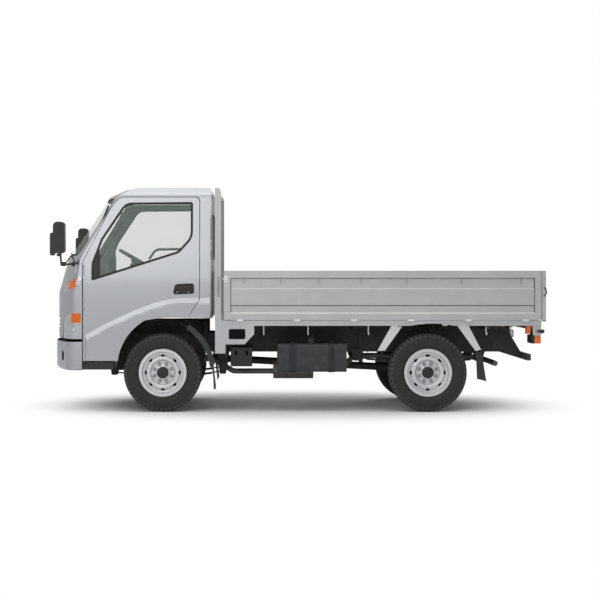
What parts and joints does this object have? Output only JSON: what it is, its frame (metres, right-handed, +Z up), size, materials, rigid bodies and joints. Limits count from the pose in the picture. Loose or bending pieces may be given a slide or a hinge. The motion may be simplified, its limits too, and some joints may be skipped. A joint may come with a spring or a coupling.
{
  "type": "light cab-over drop-side flatbed truck",
  "caption": "Light cab-over truck with a tilting cab and a fixed flat bed closed by drop-side gates, with a guard frame behind the cab.",
  "frame": {"origin": "on the ground, under the middle of the truck's length and width", "axes": "-X is the way the truck faces, -Y is its left side, +Z is up"},
  "size_m": [4.692, 2.05, 2.1399],
  "materials": {
    "tyre_rubber": "matt",
    "wheel_silver": "satin",
    "cab_paint": "metallic gloss",
    "bed_paint": "satin",
    "chassis_black": "satin",
    "engine_iron": "rough",
    "exhaust_steel": "dull",
    "dark_plastic": "matt",
    "bumper_silver": "metallic gloss",
    "clear_glass": "clear, green-grey",
    "lamp_lens": "clear and orange lens",
    "seat_fabric": "woven"
  },
  "bodies": {
    "truck": {"chassis_frame": "chassis_black", "engine": "engine_iron", "front_axle_beam": "chassis_black", "rear_axle": "chassis_black", "leaf_springs": "chassis_black", "prop_shaft": "chassis_black", "fuel_tank": "chassis_black", "battery_box": "dark_plastic", "exhaust": "exhaust_steel", "front_bumper": "bumper_silver", "front_mudguards": "dark_plastic", "rear_mudguards": "dark_plastic", "underrun_bar": "chassis_black", "rear_lamps": "lamp_lens", "deck_floor": "bed_paint", "bed_frame": "bed_paint", "guard_frame": "bed_paint"},
    "cab": {"cab_shell": "cab_paint", "front_panel": "cab_paint", "cab_glass": "clear_glass", "headlamps": "lamp_lens", "corner_lamps": "lamp_lens", "mirrors": "dark_plastic", "wipers": "dark_plastic", "seats": "seat_fabric", "dashboard": "dark_plastic", "steering_wheel": "dark_plastic"},
    "left_door": {"left_door": "cab_paint", "left_door_glass": "clear_glass"},
    "right_door": {"right_door": "cab_paint", "right_door_glass": "clear_glass"},
    "left_gate": {"left_gate": "bed_paint"},
    "right_gate": {"right_gate": "bed_paint"},
    "tail_gate": {"tail_gate": "bed_paint"},
    "left_knuckle": {"left_knuckle": "chassis_black"},
    "right_knuckle": {"right_knuckle": "chassis_black"},
    "tie_rod": {"tie_rod": "chassis_black"},
    "front_left_wheel": {"front_left_tyre": "tyre_rubber", "front_left_rim": "wheel_silver"},
    "front_right_wheel": {"front_right_tyre": "tyre_rubber", "front_right_rim": "wheel_silver"},
    "rear_left_wheel": {"rear_left_tyre": "tyre_rubber", "rear_left_rim": "wheel_silver"},
    "rear_right_wheel": {"rear_right_tyre": "tyre_rubber", "rear_right_rim": "wheel_silver"}
  },
  "joints": [
    {"name": "front_left_spin", "type": "hinge", "parent": "left_knuckle", "child": "front_left_wheel", "pos_m": [-1.266, -0.7, 0.369], "axis": [0, -1, 0], "continuous": true},
    {"name": "front_right_spin", "type": "hinge", "parent": "right_knuckle", "child": "front_right_wheel", "pos_m": [-1.266, 0.7, 0.369], "axis": [0, -1, 0], "continuous": true},
    {"name": "rear_left_spin", "type": "hinge", "parent": "truck", "child": "rear_left_wheel", "pos_m": [1.234, -0.7, 0.369], "axis": [0, -1, 0], "continuous": true},
    {"name": "rear_right_spin", "type": "hinge", "parent": "truck", "child": "rear_right_wheel", "pos_m": [1.234, 0.7, 0.369], "axis": [0, -1, 0], "continuous": true},
    {"name": "left_steer", "type": "hinge", "parent": "truck", "child": "left_knuckle", "pos_m": [-1.266, -0.635, 0.369], "axis": [0, 0, 1], "range_deg": [-33, 33]},
    {"name": "right_steer", "type": "hinge", "parent": "truck", "child": "right_knuckle", "pos_m": [-1.266, 0.635, 0.369], "axis": [0, 0, 1], "range_deg": [-33, 33]},
    {"name": "tie_rod_swing", "type": "hinge", "parent": "left_knuckle", "child": "tie_rod", "pos_m": [-1.148, -0.635, 0.259], "axis": [0, 0, 1], "range_deg": [-33, 33]},
    {"name": "cab_tilt", "type": "hinge", "parent": "truck", "child": "cab", "pos_m": [-2.216, 0, 0.7], "axis": [0, -1, 0], "range_deg": [0, 45]},
    {"name": "left_door_swing", "type": "hinge", "parent": "cab", "child": "left_door", "pos_m": [-2.003, -0.837, 1.2], "axis": [0, 0, -1], "range_deg": [0, 65]},
    {"name": "right_door_swing", "type": "hinge", "parent": "cab", "child": "right_door", "pos_m": [-2.003, 0.837, 1.2], "axis": [0, 0, 1], "range_deg": [0, 65]},
    {"name": "left_gate_drop", "type": "hinge", "parent": "truck", "child": "left_gate", "pos_m": [0.801, -0.836, 0.86], "axis": [1, 0, 0], "range_deg": [0, 180]},
    {"name": "right_gate_drop", "type": "hinge", "parent": "truck", "child": "right_gate", "pos_m": [0.801, 0.836, 0.86], "axis": [-1, 0, 0], "range_deg": [0, 180]},
    {"name": "tail_gate_drop", "type": "hinge", "parent": "truck", "child": "tail_gate", "pos_m": [2.337, 0, 0.86], "axis": [0, 1, 0], "range_deg": [0, 180]}
  ],
  "couplings": [
    {"joint": "right_steer", "follows": "left_steer", "ratio": 1},
    {"joint": "tie_rod_swing", "follows": "left_steer", "ratio": -1}
  ]
}
